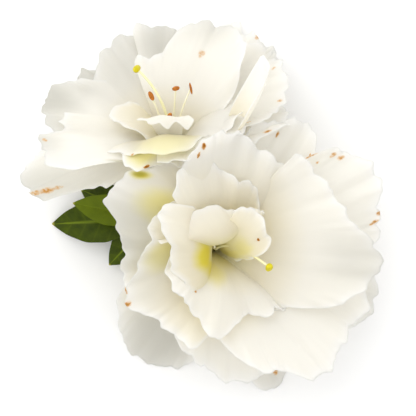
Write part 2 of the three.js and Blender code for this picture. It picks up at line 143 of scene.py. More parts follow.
# A grid of points given a thickness and closed round its rim. Each point moves half the thickness to both
# sides along the surface's normal, which is the cross product of the grid's two directions.
def closedSheet(points, thickness, values=None):
    rows, columns = points.shape[:2]
    normals = np.cross(np.gradient(points, axis=0), np.gradient(points, axis=1))
    normals /= np.linalg.norm(normals, axis=-1, keepdims=True) + 1e-9
    offset = normals * (np.broadcast_to(thickness, (rows, columns)) / 2)[..., None]
    both = np.concatenate([(points + offset).reshape(-1, 3), (points - offset).reshape(-1, 3)])
    index = np.arange(rows * columns).reshape(rows, columns)
    under = index + rows * columns
    top = np.stack([index[:-1, :-1], index[1:, :-1], index[1:, 1:], index[:-1, 1:]], -1).reshape(-1, 4)
    bottom = np.stack([under[:-1, :-1], under[:-1, 1:], under[1:, 1:], under[1:, :-1]], -1).reshape(-1, 4)
    loop = np.concatenate([index[:-1, 0], index[-1, :-1], index[:0:-1, -1], index[0, :0:-1]])
    after = np.roll(loop, -1)
    rim = np.stack([loop, loop + rows * columns, after + rows * columns, after], -1)
    v, u = np.meshgrid(np.linspace(0, 1, columns), np.linspace(0, 1, rows))
    uv = np.stack([v, u], -1).reshape(-1, 2)
    part = {"points": both, "faces": [top, bottom, rim], "uv": np.concatenate([uv, uv])}
    part["values"] = {key: np.tile(value.ravel(), 2) for key, value in (values or {}).items()}
    return part


# A closed tube: rings of the given radii around a path, each square to it, with a point at both ends.
# radii is one value per ring, or one row per ring with a value for each side.
def closedTube(path, radii, sides=12):
    path = np.asarray(path, float)
    radii = np.asarray(radii, float)
    radii = radii[:, None] * np.ones(sides) if radii.ndim == 1 else radii
    tangent = unit(np.gradient(path, axis=0))
    reference = np.eye(3)[np.argmin(np.abs(tangent).mean(0))]
    across = unit(np.cross(tangent, reference))
    upright = np.cross(tangent, across)
    angle = np.arange(sides) * 2 * np.pi / sides
    ring = across[:, None] * np.cos(angle)[None, :, None] + upright[:, None] * np.sin(angle)[None, :, None]
    points = path[:, None] + ring * radii[..., None]
    rings = len(path)
    index = np.arange(rings * sides).reshape(rings, sides)
    turned = np.roll(index, -1, axis=1)
    walls = np.stack([index[:-1], turned[:-1], turned[1:], index[1:]], -1).reshape(-1, 4)
    first, last = rings * sides, rings * sides + 1
    startCap = np.stack([turned[0], index[0], np.full(sides, first)], -1)
    endCap = np.stack([index[-1], turned[-1], np.full(sides, last)], -1)
    allPoints = np.concatenate([points.reshape(-1, 3), path[:1], path[-1:]])
    u = np.repeat(np.linspace(0, 1, rings), sides)
    v = np.tile(np.arange(sides) / sides, rings)
    uv = np.concatenate([np.stack([v, u], -1), [[0.5, 0], [0.5, 1]]])
    return {"points": allPoints, "faces": [walls, startCap, endCap], "uv": uv}


# Points on a curve drawn by its control points: their sum, each with its binomial weight in t and 1 - t
def drawnCurve(controls, count):
    controls = np.asarray(controls, float)
    degree = len(controls) - 1
    t = np.linspace(0, 1, count)[:, None]
    weights = [math.comb(degree, k) * t ** k * (1 - t) ** (degree - k) for k in range(degree + 1)]
    return sum(weight * control for weight, control in zip(weights, controls))


# A smooth run through evenly spaced values, for t from -1 to 1. Between two of them it is a cubic whose slope
# at each is half the difference of its neighbours.
def smoothRun(values, t):
    values = np.asarray(values, float)
    last = len(values) - 1
    x = (t + 1) / 2 * last
    i = np.clip(np.floor(x).astype(int), 0, last - 1)
    f = x - i
    p0, p1 = values[np.clip(i - 1, 0, last)], values[i]
    p2, p3 = values[i + 1], values[np.clip(i + 2, 0, last)]
    return 0.5 * (2 * p1 + (p2 - p0) * f + (2 * p0 - 5 * p1 + 4 * p2 - p3) * f ** 2
                  + (3 * p1 - p0 - 3 * p2 + p3) * f ** 3)


# A vector, or each of an array's, at length 1
def unit(vectors):
    return np.asarray(vectors) / np.linalg.norm(vectors, axis=-1, keepdims=True)


# A grid's parameters: one from 0 to 1 down its rows, and one from -1 to 1 across its columns
def gridOf(form):
    return np.linspace(0, 1, form["rows"])[:, None], np.linspace(-1, 1, form["columns"])[None, :]


# Points at these distances from an origin, along these directions
def placed(origin, distances, directions):
    return origin + sum(distance[..., None] * np.asarray(one) for distance, one in zip(distances, directions))


# The directions outward and sideways at an angle round an axis, from the two directions across it
def around(axis, east, north, angle):
    outward = math.cos(angle) * east + math.sin(angle) * north
    return outward, np.cross(axis, outward)


# A bloom's axis, and the two directions across it that its azimuths are counted from
def bloomFrame(bloom):
    tilt, heading = math.radians(bloom["tilt"]), math.radians(bloom["heading"])
    axis = np.array([math.sin(tilt) * math.cos(heading), math.sin(tilt) * math.sin(heading), math.cos(tilt)])
    east = unit(np.array([1.0, 0, 0]) - axis[0] * axis)
    return axis, east, np.cross(axis, east)


# Petals. Each is a fan of rays from the foot of its bloom, out from the axis and up along it. azimuth is its
# place round the axis in degrees, and spread half its angle. rise and pinch bend its midline, a parabola, and
# sway bends it sideways. margin is its reach from one side to the other, as shares of its length, frill the
# depth in mm of the small teeth there, and rounding what both corners lose. clawShare is how wide the
# fan is at its foot. cup rolls the sides up. ruffle is the height in mm of the waves at the margin, one for
# each waveDegrees of spread, and flute and crimp those of finer ones. pucker is the height of the soft dents
# all over. paleMm is how much further out it counts for its colour. marks are brown spots: (along, across,
# radius in mm, share). Spots of olive painted shade for the pockets between overlapping petals, spots of grey
# painted shade for petals that lie in shadow, and glows, yellow places, have the same form.
petalForm = {
    "rise": 17, "pinch": 0, "sway": 0, "spread": 30, "margin": (0.9, 0.97, 1, 0.97, 0.9), "cup": 0.4,
    "waveDegrees": 13, "ruffle": 0.9, "frill": 0.34, "flute": 0.85, "crimp": 0.35, "pucker": 0.45,
    "paleMm": 0, "marks": (), "hollows": (), "dulls": (), "glows": (), "rows": 100, "columns": 140,
    "rootRing": 1.6, "rootHalfWidth": 2.2, "clawShare": 0.45, "clawPower": 0.7, "rounding": 0.3,
    "roundingPower": 6, "cupOffset": 6, "thickAtFoot": 0.6, "thickAtMargin": 0.16, "thinning": 0.6,
}
phaseStep = 0.37  # from one petal's waves to the next one's, as a share of a turn

# The waves' own numbers. mm is the arc for one radian of a sine, and turn shifts it by the petal's phase. A
# wander makes the spacing uneven, and power is that of u with which the waves grow. Patches are where the
# flutes are strong and the crimps weak. dents are two crossing sines: (mm across, mm along, turn).
petalWaves = {
    "teeth": ({"mm": 1.27, "turn": 9, "share": 1}, {"mm": 0.77, "turn": 23, "share": 0.6},
              {"mm": 0.43, "turn": 5, "share": 0.35}),
    "ruffles": {"power": 3},
    "flutes": {"mm": 1.4, "turn": 11, "wander": 0.9, "wanderMm": 3.1, "power": 8},
    "crimps": {"mm": 0.6, "turn": 17, "wander": 1.3, "wanderMm": 1.9, "power": 14},
    "patches": {"mm": 4.3, "turn": 3, "middle": 0.55, "swing": 0.45, "most": 1.1},
    "dents": ((3.1, 9, 7), (-6.7, 5.3, 4)),
}

# Blooms. foot is where the petals spring, and tilt and heading turn the axis, in degrees. styleTip, styleBend
# and styleArc draw the style. Each stamen has its tip, its azimuth at its foot, the direction its sac lies in
# and the sac's radius and length.
frontBloom = {
    "name": "front", "foot": (-1.5, -9.5, 14), "tilt": 24, "heading": -25, "paleMm": 0,
    "petals": {
        "Hood": {"azimuth": 104, "out": 13.5, "up": 23.5, "rise": 31, "pinch": 2.5, "spread": 36,
            "cup": -1.5, "ruffle": 0.6, "rounding": 0.1, "flute": 0.4,
            "margin": (0.66, 0.71, 0.77, 0.84, 0.93, 0.97, 0.97, 1, 1.05, 1.09, 1.12, 1.13, 1.12, 1.1, 1.04,
                1.04, 1.04), "marks": ((0.97, 0.38, 0.6, 0.5),)},
        "Flap": {"azimuth": 36, "out": 7.5, "up": 26.5, "rise": 20, "pinch": 1, "spread": 24, "cup": 0.6,
            "ruffle": 0.5, "rounding": 0.1, "flute": 1.1, "crimp": 0.6, "frill": 0.55,
            "glows": ((0.6, -0.1, 5, 0.3),), "marks": ((0.86, 0.12, 0.6, 0.9),),
            "margin": (0.4, 0.46, 0.54, 0.64, 0.72, 0.74, 0.88, 1.06, 1.16, 1.19, 1.22, 1.25, 1.27, 1.28,
                1.28, 1.28, 1.26)},
        "InnerLeft": {"azimuth": 180, "out": 18.5, "up": 22.3, "rise": 22, "pinch": -1.2, "spread": 28,
            "cup": 0.1, "rounding": 0.05, "flute": 0.4,
            "margin": (0.92, 1.1, 1.13, 1.12, 1.08, 1.01, 0.98, 0.98, 0.97, 0.95, 0.92, 0.89, 0.86, 0.82,
                0.76, 0.69, 0.59), "glows": ((0.64, -0.05, 5.6, 1), (0.58, 0.4, 4.2, 0.8))},
        "InnerLower": {"azimuth": -112, "out": 19.5, "up": 23.5, "rise": 21, "spread": 42,
            "clawShare": 0.28,
            "margin": (0.85, 0.87, 0.9, 0.91, 0.92, 0.96, 1.03, 1.04, 0.9, 0.87, 0.92, 0.96, 1.2),
            "marks": ((0.86, -0.35, 0.6, 0.4),), "paleMm": 14,
            "glows": ((0.26, 0.1, 9, 0.3), (0.5, -0.2, 6, 0.45))},
        "InnerUpper": {"azimuth": 95, "out": 25.5, "up": 19, "rise": 21, "cup": 0.6, "spread": 24,
            "rounding": 0.05, "margin": (0.7, 0.82, 0.9, 0.89, 0.97, 1.02, 1.04, 1.04, 1.0)},
        "LowerLeft": {"azimuth": -169, "out": 26.5, "up": 16, "rise": 19, "spread": 44,
            "margin": (0.85, 0.87, 0.9, 0.93, 0.91, 0.95, 1, 1.07, 1, 0.97, 0.98, 1.05, 1.1),
            "marks": ((0.99, 0.18, 0.9, 0.4),), "dulls": ((0.9, 0, 9, 0.35),),
            "glows": ((0.84, -0.2, 5, 0.5),)},
        "Left": {"azimuth": 169, "out": 28, "up": 10, "spread": 40,
            "margin": (1.2, 1.19, 1.13, 1.13, 1.13, 1.12, 1.09, 1.03, 0.99, 0.98, 0.98, 0.99, 1, 1.01, 1.02,
                1.035, 1.05), "marks": ((1, 0.53, 1, 0.45),), "hollows": ((0.965, -0.66, 1.1, 0.5),),
            "dulls": ((0.88, -0.05, 11, 0.6),), "glows": ((0.76, -0.46, 6, 0.5), (0.96, -0.66, 1.5, 1))},
        "Upper": {"azimuth": 76, "out": 30, "up": 19, "cup": 0.6, "spread": 29, "rounding": 0.05,
            "margin": (1.05, 1, 0.98, 0.98, 1.01, 1.05, 1.06, 1.06, 1),
            "marks": ((0.955, 0.79, 0.5, 0.8), (0.97, 0.72, 0.6, 1))},
        "FarUpper": {"azimuth": 62, "out": 40, "up": 15, "rise": 14, "spread": 15, "rounding": 0.1,
            "margin": (1.03, 1.03, 1.03, 1.02, 0.99, 0.98, 0.96, 0.95, 0.9),
            "marks": ((0.96, 0.36, 0.5, 0.5), (0.95, 0.06, 0.7, 0.5), (0.96, -0.89, 0.5, 0.5))},
        "UpperRight": {"azimuth": 23, "out": 43.5, "up": 21, "rise": 14, "spread": 21, "ruffle": 1.3,
            "margin": (1.2, 1.13, 1.05, 1.02, 1.02, 1.03, 1.04, 1.04, 1.03, 1.01, 1.01, 1.02, 1),
            "marks": ((0.97, 0.64, 0.8, 0.36), (0.97, 0.53, 0.8, 0.36), (0.99, 0.85, 0.7, 0.36),
                (0.91, 0.69, 0.6, 0.3), (0.98, -0.57, 0.9, 0.4), (1, -0.46, 0.9, 0.4))},
        "Right": {"azimuth": -6, "out": 39, "up": 32, "spread": 40, "rounding": 0.1,
            "dulls": ((0.95, 0.05, 9, 0.4),),
            "margin": (0.62, 0.62, 0.64, 0.71, 0.88, 0.95, 1, 0.98, 0.92, 0.89, 0.88, 0.88, 0.93)},
        "LowerRight": {"azimuth": -51, "out": 40, "up": 26, "spread": 28, "ruffle": 1.4, "waveDegrees": 11,
            "margin": (0.86, 0.87, 0.9, 0.92, 0.95, 1.02, 1.02, 1.01, 1, 1.01, 1.05, 1.13, 1.2)},
        "OutermostRight": {"azimuth": -21, "out": 47.5, "up": 19, "rise": 12, "spread": 20, "frill": 0.2,
            "dulls": ((1, 0, 9, 0.3),)},
        "Below": {"azimuth": -87, "out": 36, "up": 10, "spread": 28, "rise": 15,
            "margin": (0.91, 0.9, 0.92, 0.96, 1.02, 1.05, 1.06, 1.1, 1.1)},
        "DroopBelow": {"azimuth": -61.5, "out": 48, "up": 3, "rise": 9, "spread": 10.5, "cup": 0.2,
            "frill": 0.2, "flute": 0.3, "rounding": 0.1,
            "margin": (0.95, 1, 1.01, 1, 0.98, 0.97, 0.96), "marks": ((0.95, -0.03, 1, 0.38),),
            "dulls": ((0.9, 0, 9, 0.4),)},
        "DroopLeft": {"azimuth": -113, "out": 37, "up": -9, "rise": 9, "cup": 0.2,
            "margin": (1.05, 0.95, 0.96, 1, 1.02, 1.03, 1.03, 0.98, 0.95), "frill": 0.15, "flute": 0.25,
            "ruffle": 0.4, "dulls": ((0.8, 0, 15, 0.8),)},
    },
    "styleTip": frontStigma["centre"], "styleBend": 8, "styleArc": (1, 5, 0),
    "stamens": [{"tip": (13, -8.5, 33), "azimuth": 40, "lie": (0.3, 0.9, 0.3), "antherMm": (0.55, 1.8)},
                {"tip": (-0.5, -7, 26.5), "azimuth": 150, "lie": (-0.2, 0.9, 0.4), "antherMm": (0.6, 2)}],
}

rearBloom = {
    "name": "rear", "foot": (-9, 12, 13), "tilt": 46, "heading": 97, "paleMm": 7,
    "petals": {
        "FarRight": {"azimuth": 60, "out": 26, "up": 31, "rise": 19,
            "margin": (0.8, 0.87, 0.95, 1, 1.02, 1.02, 1, 0.99, 0.96, 0.86, 0.83, 0.87, 1.1),
            "marks": ((0.83, -0.04, 1.3, 0.28),), "paleMm": 6, "dulls": ((1.1, 0, 10, 0.5),)},
        "FarLeft": {"azimuth": 119, "out": 32, "up": 22, "rise": 14, "spread": 26, "cup": -0.8,
            "margin": (1.1, 1.03, 1.02, 1.02, 1.02, 0.99, 0.95, 0.93, 1),
            "dulls": ((0.95, -0.1, 12, 0.5),)},
        "Behind": {"azimuth": 89, "out": 35, "up": 23.5, "rise": 14, "spread": 14, "rounding": 0.08,
            "margin": (0.9, 0.92, 0.95, 0.97, 0.99, 1, 1.07), "dulls": ((0.95, 0.16, 9, 0.6),)},
        "BehindLeft": {"azimuth": 139, "out": 32.5, "up": 18.5, "rise": 13, "spread": 18,
            "dulls": ((1, 0.2, 9, 0.8),)},
        "BehindRight": {"azimuth": 57, "out": 42, "up": 20.5, "rise": 14,
            "margin": (0.93, 0.94, 0.95, 0.955, 0.945, 0.96, 0.965, 1, 0.97, 0.96, 0.94, 0.92, 0.9),
            "marks": ((1, -0.2, 0.8, 0.4),), "dulls": ((1, -0.5, 9, 0.3),)},
        "LeftHigh": {"azimuth": 173, "out": 34.5, "up": 20, "rise": 15, "spread": 25, "cup": 0.5,
            "ruffle": 0.3, "rounding": 0.02, "frill": 0.25, "flute": 0.3,
            "margin": (0.8, 0.89, 0.95, 1, 1.01, 1.01, 1, 0.99, 0.98, 0.94, 0.9, 0.87, 0.85),
            "dulls": ((1.02, -0.2, 9, 0.9), (1, 0.3, 6, 0.6))},
        "LeftMiddle": {"azimuth": -159, "out": 35.5, "up": 22.5, "rise": 18, "spread": 16, "cup": 0.3,
            "sway": 3.5, "ruffle": 1.4, "waveDegrees": 10, "rounding": 0.03, "clawShare": 0.7,
            "margin": (0.92, 0.91, 0.92, 0.88, 0.9, 0.94, 0.97, 0.99, 1, 1, 1.01, 1.01, 1.01, 1.02, 1, 0.97,
                0.94), "marks": ((0.98, 0.05, 0.5, 0.5),), "paleMm": 8, "dulls": ((1.05, 0.1, 7, 0.5),),
            "hollows": ((0.8, 1, 2, 0.3),)},
        "LeftLow": {"azimuth": -160, "out": 41, "up": 6.5, "rise": 15, "spread": 18, "rounding": 0.02,
            "flute": 1.1,
            "margin": (0.95, 0.965, 0.985, 1.01, 1.01, 1.01, 1.01, 0.99, 0.96, 0.91, 0.84, 0.8, 0.79),
            "marks": ((0.985, 0.11, 1.1, 0.32), (0.955, 0.16, 1.2, 0.36), (0.92, 0.2, 0.9, 0.28)),
            "dulls": ((1, 0, 9, 0.5),)},
        "InnerLeft": {"azimuth": -162, "out": 16, "up": 22.5, "spread": 24, "rounding": 0.05,
            "flute": 0.3, "frill": 0.25, "ruffle": 0.5,
            "margin": (0.74, 0.79, 0.84, 0.93, 0.97, 0.98, 0.97, 0.95, 0.89, 0.8, 0.72, 0.73, 0.75)},
        "Frill": {"azimuth": -94, "out": 9, "up": 21.5, "rise": 28, "pinch": 3, "spread": 17, "cup": 0.8,
            "rounding": 0.05, "flute": 0.15, "crimp": 0.1, "paleMm": 26,
            "margin": (0.88, 0.85, 0.84, 0.87, 0.94, 0.95, 0.94, 0.93, 0.98, 1.03, 0.97, 0.91, 0.95, 1.04,
                1.03, 0.99, 0.95)},
        "InnerRight": {"azimuth": -34, "out": 21, "up": 20, "rise": 18, "spread": 38, "cup": 0.6,
            "rounding": 0.02, "flute": 0.4, "paleMm": 6,
            "margin": (0.96, 0.97, 0.97, 0.95, 0.93, 0.96, 1.01, 1.03, 1, 0.95, 0.88, 0.81, 0.76)},
        "Rolled": {"azimuth": 7.5, "out": 27.7, "up": 32, "rise": 20, "pinch": 21, "sway": -9, "spread": 11,
            "cup": 9, "margin": (0.8, 0.95, 1, 0.95, 0.8)},
        "NearInner": {"azimuth": -89, "out": 21, "up": 23, "rise": 20, "spread": 34, "cup": -0.8,
            "rounding": 0.05, "frill": 0.15, "flute": 0.3, "crimp": 0.15,
            "margin": (0.98, 0.94, 0.92, 0.94, 0.97, 1.02, 1.02, 0.98, 0.92, 0.82, 0.78, 0.79, 0.81),
            "marks": ((0.99, -0.46, 0.6, 0.4),), "glows": ((0.85, -0.02, 9, 0.28),)},
        "NearOuter": {"azimuth": -85, "out": 22.5, "up": 18, "spread": 42, "cup": 1.2,
            "rounding": 0.05,
            "margin": (0.62, 0.66, 0.74, 0.88, 1.04, 1.06, 0.95, 0.89, 0.91, 0.93, 0.93, 0.91, 0.89, 0.88,
                0.89, 0.92, 0.96), "marks": ((0.985, -0.29, 0.6, 1), (0.97, -0.81, 0.5, 0.4)), "paleMm": 8,
            "hollows": ((0.8, -0.66, 2, 0.5), (0.81, -0.5, 2.2, 0.5), (0.8, -0.58, 4, 0.25)),
            "glows": ((0.84, -0.4, 5, 0.4),)},
        "Right": {"azimuth": 16, "out": 32.5, "up": 19.5, "spread": 26, "cup": 0.5,
            "margin": (0.93, 0.94, 0.96, 1, 1.02, 1.04, 1.06, 1.13, 1.25),
            "marks": ((0.96, 0.29, 0.6, 0.32), (0.97, -0.32, 0.7, 0.34), (0.91, -0.74, 0.6, 0.32))},
        "RightLow": {"azimuth": -1, "out": 31.5, "up": 15, "rise": 16,
            "margin": (0.8, 0.85, 0.9, 0.99, 1.01, 1, 1.01, 1, 1), "marks": ((0.97, -0.33, 0.7, 0.4),)},
    },
    "styleTip": (-19, 37, 30), "styleBend": 16, "styleArc": (0, 0, 0),
    "stamens": [{"tip": (-15.2, 30, 28), "azimuth": 190, "lie": (-0.42, 0.88, 0.2), "antherMm": (0.65, 2.6)},
                {"tip": (-8.6, 32, 28), "azimuth": 60, "lie": (1, 0.25, 0), "antherMm": (0.62, 2)},
                {"tip": (-4.6, 32, 28), "azimuth": 0, "lie": (-0.2, 0.96, 0.2), "antherMm": (0.5, 3.1)},
                {"tip": (-10.2, 24.5, 31), "azimuth": -90, "lie": (0.5, 0.7, 0.5), "antherMm": (0.6, 1.8)}],
}


# One sine along the margin: its arc in mm, turned by the petal's phase and by the wander
def waveAlong(arc, wave, phase):
    wander = wave.get("wander", 0) * np.sin(arc / wave.get("wanderMm", 1))
    return np.sin(arc / wave["mm"] + wave["turn"] * phase + wander)


# A petal's surface for u from its foot to its margin and v from side to side. With t the share of the length
# along the fan's middle, the midline is (1-t)^2 ring + 2t(1-t) (pinch, rise) + t^2 (out, up). Each point
# stands off it, square to its slope, by the cup's arc and the waves, which grow as powers of u.
def petalSurface(bloom, form):
    axis, east, north = bloomFrame(bloom)
    outward, sideways = around(axis, east, north, math.radians(form["azimuth"]))
    out, up, pinch, rise = form["out"], form["up"], form["pinch"], form["rise"]
    length = (math.hypot(out, up) + math.hypot(pinch, rise) + math.hypot(out - pinch, up - rise)) / 2
    u, v = gridOf(form)
    phase, spread = form["phase"], math.radians(form["spread"])
    arc = v * spread * length
    corners = 1 - form["rounding"] * np.abs(v) ** form["roundingPower"]
    teeth = sum(wave["share"] * waveAlong(arc, wave, phase) for wave in petalWaves["teeth"])
    reach = length * smoothRun(form["margin"], v) * corners + form["frill"] * teeth
    claw = form["clawShare"] + (1 - form["clawShare"]) * u ** form["clawPower"]
    along = u * reach * np.cos(v * spread * claw)
    across = u * reach * np.sin(v * spread * claw) + form["rootHalfWidth"] * v * (1 - u)
    bend = form["cup"] / (form["cupOffset"] + u * reach)
    turns = form["spread"] / form["waveDegrees"]
    ruffles = u ** petalWaves["ruffles"]["power"] * np.sin(np.pi * turns * v + 2 * np.pi * phase)
    flute, crimp, patch = petalWaves["flutes"], petalWaves["crimps"], petalWaves["patches"]
    patches = patch["middle"] + patch["swing"] * waveAlong(arc, patch, phase)
    flutes = u ** flute["power"] * waveAlong(arc, flute, phase) * patches
    crimps = u ** crimp["power"] * waveAlong(arc, crimp, phase) * (patch["most"] - patches)
    dents = u
    for acrossMm, alongMm, turn in petalWaves["dents"]:
        dents = dents * np.sin(across / acrossMm + along / alongMm + turn * phase)
    lift = ((1 - np.cos(bend * across)) / bend + form["ruffle"] * ruffles + form["flute"] * flutes
            + form["crimp"] * crimps + form["pucker"] * dents)
    t = along / length
    outAt = form["rootRing"] * (1 - t) ** 2 + 2 * t * (1 - t) * pinch + t * t * out
    upAt = 2 * t * (1 - t) * rise + t * t * up
    asideAt = np.sin(bend * across) / bend + form["sway"] * 4 * t * (1 - t)
    lean = np.arctan2((1 - 2 * t) * pinch + t * out, (1 - 2 * t) * rise + t * up)
    points = placed(bloom["foot"], (outAt - np.cos(lean) * lift, upAt + np.sin(lean) * lift, asideAt),
                    (outward, axis, sideways))
    above = points[..., 2] - restMm
    points[..., 2] = restMm + (above + np.sqrt(above ** 2 + settleMm ** 2)) / 2  # it rests on the floor
    return points, u * reach, u, v


# The share of brown stain, painted shade or yellow in each point: a soft round spot for each of the places,
# full near its middle and gone at fade times its radius
def spotShares(spots, form, distance, v, fade=1.3):
    shares = np.zeros(distance.shape)
    width = distance * math.radians(form["spread"])
    for along, place, radius, share in spots:
        away = np.hypot(distance - along * distance[-1:], (v - place) * width)
        near = np.clip(fade - away / radius, 0, 1)
        shares = np.maximum(shares, share * near * near * (3 - 2 * near))
    return shares


# The spot kinds: brown stains, olive painted shade, grey painted shade and the throat's yellow
spotKinds = ("mark", "hollow", "dull", "glow")


# A bloom's petals: sheets that thin towards the margin as a power of u. The distance from the foot, the inset
# from the margin and the spots go to the material as point attributes.
def makePetals(bloom, material):
    for k, (name, shape) in enumerate(bloom["petals"].items()):
        form = {**petalForm, "phase": (phaseStep * k) % 1, **shape}
        points, distance, u, v = petalSurface(bloom, form)
        thinned = np.broadcast_to(u, distance.shape) ** form["thinning"]
        thick = form["thickAtFoot"] + (form["thickAtMargin"] - form["thickAtFoot"]) * thinned
        values = {kind: spotShares(form[f"{kind}s"], form, distance, v) for kind in spotKinds}
        values["distance"] = distance + bloom["paleMm"] + form["paleMm"]
        values["inset"] = distance[-1:] - distance
        sheet = closedSheet(points, thick, values)
        nodes = [f"{bloom['name']}_bloom"] if k == 0 else ()
        makePiece(f"{bloom['name']}Petal{name}", [sheet], material, nodes)
    print(f"{bloom['name']} bloom: {len(bloom['petals'])} petals")


# White azalea petal: thin, juicy tissue whose cells scatter light, so it is matt white with a soft sheen and
# lets light through. tones are its colours by millimetres from the foot, from the throat's yellow to white,
# and its margin is whiter still, its own paler tone with a painted highlight on it. Two colours are painted
# shade, an olive one for the pockets between petals and a grey one for petals that lie in shadow, and glow is
# the throat's stronger yellow. Veins and cells are faint relief. stains are a bruise's tones by its depth.
petalFinish = {
    "tones": ((0, "#f3ec90"), (8, "#faf4ba"), (16, "#fcf9dd"), (27.2, "#fcf8ea"), (40, "#fefdfa")),
    "rim": "#ffffff", "whiteRimAndHighlightMm": 2.4, "whiteRimAndHighlightShare": 0.95, "glow": "#f9f066", "dull": "#e1e0da",
    "hollow": "#a8a058", "stains": ((0.14, "#e9bd72"), (0.42, "#b4701a")), "stainFrom": 0.06, "stainTo": 0.2,
    "speckleMm": 0.714, "wideMm": 34, "veinMm": 1, "longMm": 33, "veinRunMm": 15, "veinShare": 0.03,
    "cellMm": 0.35, "throughLight": "#fffefa", "throughShare": 0.55, "roughness": 0.5, "shine": 0.35,
    "sheen": 0.15,
}


# Ends a thin material's tree: this share of its light comes through it, and the rest off its surface
def endThin(tree, surface, through, share):
    both = addNode(tree, "MixShader", {"Fac": share},
                   {1: surface.outputs["BSDF"], 2: through.outputs["BSDF"]})
    addNode(tree, "OutputMaterial", {}, {"Surface": both.outputs["Shader"]})


def petalMaterial():
    material, tree = newMaterial("livingPetalTissue")
    look = petalFinish
    farthest = look["tones"][-1][0]
    stops = [(place / farthest, tone) for place, tone in look["tones"]]
    point = {name: addNode(tree, "Attribute", {"attribute_name": name}).outputs["Fac"]
             for name in ("distance", "inset", *spotKinds)}
    share = addNode(tree, "MapRange", {"From Max": farthest}, {"Value": point["distance"]})
    tones = addNode(tree, "ValToRGB", {"stops": stops}, {"Fac": share.outputs["Result"]})
    # A whiter band along the margin: the thin margin's own paler tone, and a painted highlight where the
    # curled edge catches the light
    atWhiteRimAndHighlight = addNode(tree, "MapRange",
                    {"From Min": look["whiteRimAndHighlightMm"], "From Max": 0.0, "To Max": look["whiteRimAndHighlightShare"]},
                    {"Value": point["inset"]})
    colour = addNode(tree, "Mix", {"data_type": "RGBA", colourB: linearColour(look["rim"])},
                     {"Factor": atWhiteRimAndHighlight.outputs["Result"], colourA: tones.outputs["Color"]})
    # Over the tones go the throat's yellow, then grey painted shade, then olive painted shade
    for kind in ("glow", "dull", "hollow"):
        colour = addNode(tree, "Mix", {"data_type": "RGBA", colourB: linearColour(look[kind])},
                         {"Factor": point[kind], colourA: colour.outputs[mixed]})
    onSheet = addNode(tree, "UVMap", {"uv_map": "surface"})
    veinCounts = (look["wideMm"] / look["veinMm"], look["longMm"] / look["veinRunMm"], 1.0)
    stretched = addNode(tree, "Mapping", {"Scale": veinCounts}, {"Vector": onSheet.outputs["UV"]})
    veins = addNode(tree, "TexNoise", {"Scale": 1.0, "Detail": 3.0, "Roughness": 0.55},
                    {"Vector": stretched.outputs["Vector"]})
    veined = addNode(tree, "Mix",
                     {"data_type": "RGBA", "blend_type": "MULTIPLY", "Factor": look["veinShare"]},
                     {colourA: colour.outputs[mixed], colourB: veins.outputs["Fac"]})
    onPiece = addNode(tree, "TexCoord").outputs["Object"]
    speckle = addNode(tree, "TexNoise", {"Scale": perMetre(look["speckleMm"]), "Detail": 2.0},
                      {"Vector": onPiece})
    ragged = addNode(tree, "Math", {"operation": "MULTIPLY"}, {0: point["mark"], 1: speckle.outputs["Fac"]})
    edge = addNode(tree, "MapRange", {"From Min": look["stainFrom"], "From Max": look["stainTo"]},
                   {"Value": ragged.outputs["Value"]})
    stain = addNode(tree, "ValToRGB", {"stops": look["stains"]}, {"Fac": ragged.outputs["Value"]})
    bruised = addNode(tree, "Mix", {"data_type": "RGBA"}, {
        "Factor": edge.outputs["Result"], colourA: veined.outputs[mixed], colourB: stain.outputs["Color"]})
    cells = addNode(tree, "TexNoise", {"Scale": perMetre(look["cellMm"]), "Detail": 1.0},
                    {"Vector": onPiece})
    veinRelief = addNode(tree, "Bump", {"Strength": 0.25, "Distance": 0.0002},
                         {"Height": veins.outputs["Fac"]})
    relief = addNode(tree, "Bump", {"Strength": 0.08, "Distance": 0.0001},
                     {"Height": cells.outputs["Fac"], "Normal": veinRelief.outputs["Normal"]})
    surface = addNode(tree, "BsdfPrincipled", {
        "Roughness": look["roughness"], "IOR": 1.42, "Specular IOR Level": look["shine"],
        "Sheen Weight": look["sheen"], "Sheen Roughness": 0.4,
    }, {"Base Color": bruised.outputs[mixed], "Normal": relief.outputs["Normal"]})
    tint = addNode(tree, "Mix", {"data_type": "RGBA", "blend_type": "MULTIPLY", "Factor": 1.0,
                                           colourB: linearColour(look["throughLight"])},
                   {colourA: bruised.outputs[mixed]})
    through = addNode(tree, "BsdfTranslucent", {},
                      {"Color": tint.outputs[mixed], "Normal": relief.outputs["Normal"]})
    endThin(tree, surface, through, look["throughShare"])
    return material


